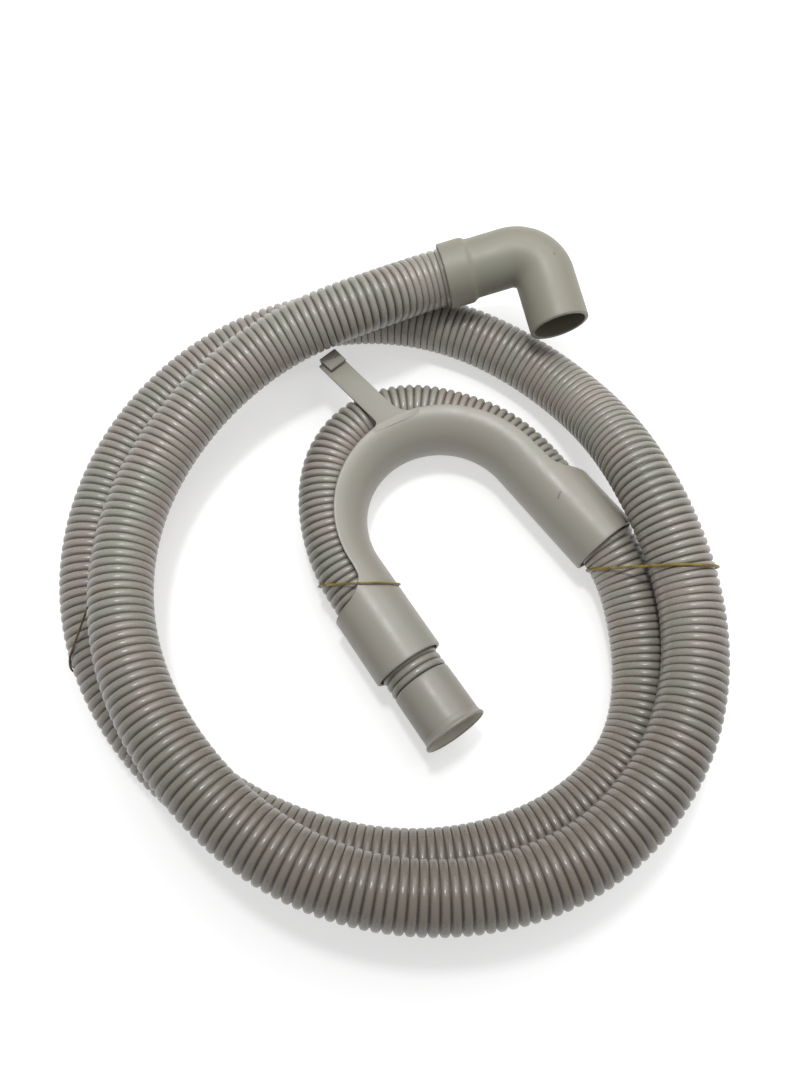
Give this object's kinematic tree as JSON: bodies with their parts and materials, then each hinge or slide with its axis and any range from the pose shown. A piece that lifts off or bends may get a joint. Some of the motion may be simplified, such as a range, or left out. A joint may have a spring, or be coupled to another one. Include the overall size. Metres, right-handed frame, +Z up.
{
  "type": "washing machine drain hose",
  "caption": "Grey corrugated drain hose lying coiled, with a moulded elbow at one end, a smooth cuff at the other and a U-shaped hook guide.",
  "frame": {"origin": "on the floor under the centre of the box round the fittings: elbow, cuff, hook guide and bands", "axes": "+Z up from the floor the coil lies on, +X across the coil from the left band to the right band, +Y towards the elbow side"},
  "size_m": [0.344, 0.3656, 0.0726],
  "materials": {
    "hose_plastic": "grey corrugated polypropylene with a soft sheen",
    "elbow_plastic": "matte grey moulded elastomer",
    "cuff_plastic": "smooth grey plastic with a soft sheen",
    "guide_plastic": "smooth grey moulded plastic with a satin gloss",
    "band_rubber": "thin olive-brown elastic"
  },
  "bodies": {
    "root": {"hose": "hose_plastic", "elbow": "elbow_plastic", "end_cuff": "cuff_plastic", "hook_guide": "guide_plastic", "band_hook": "band_rubber", "band_right": "band_rubber", "band_left": "band_rubber"}
  },
  "joints": []
}
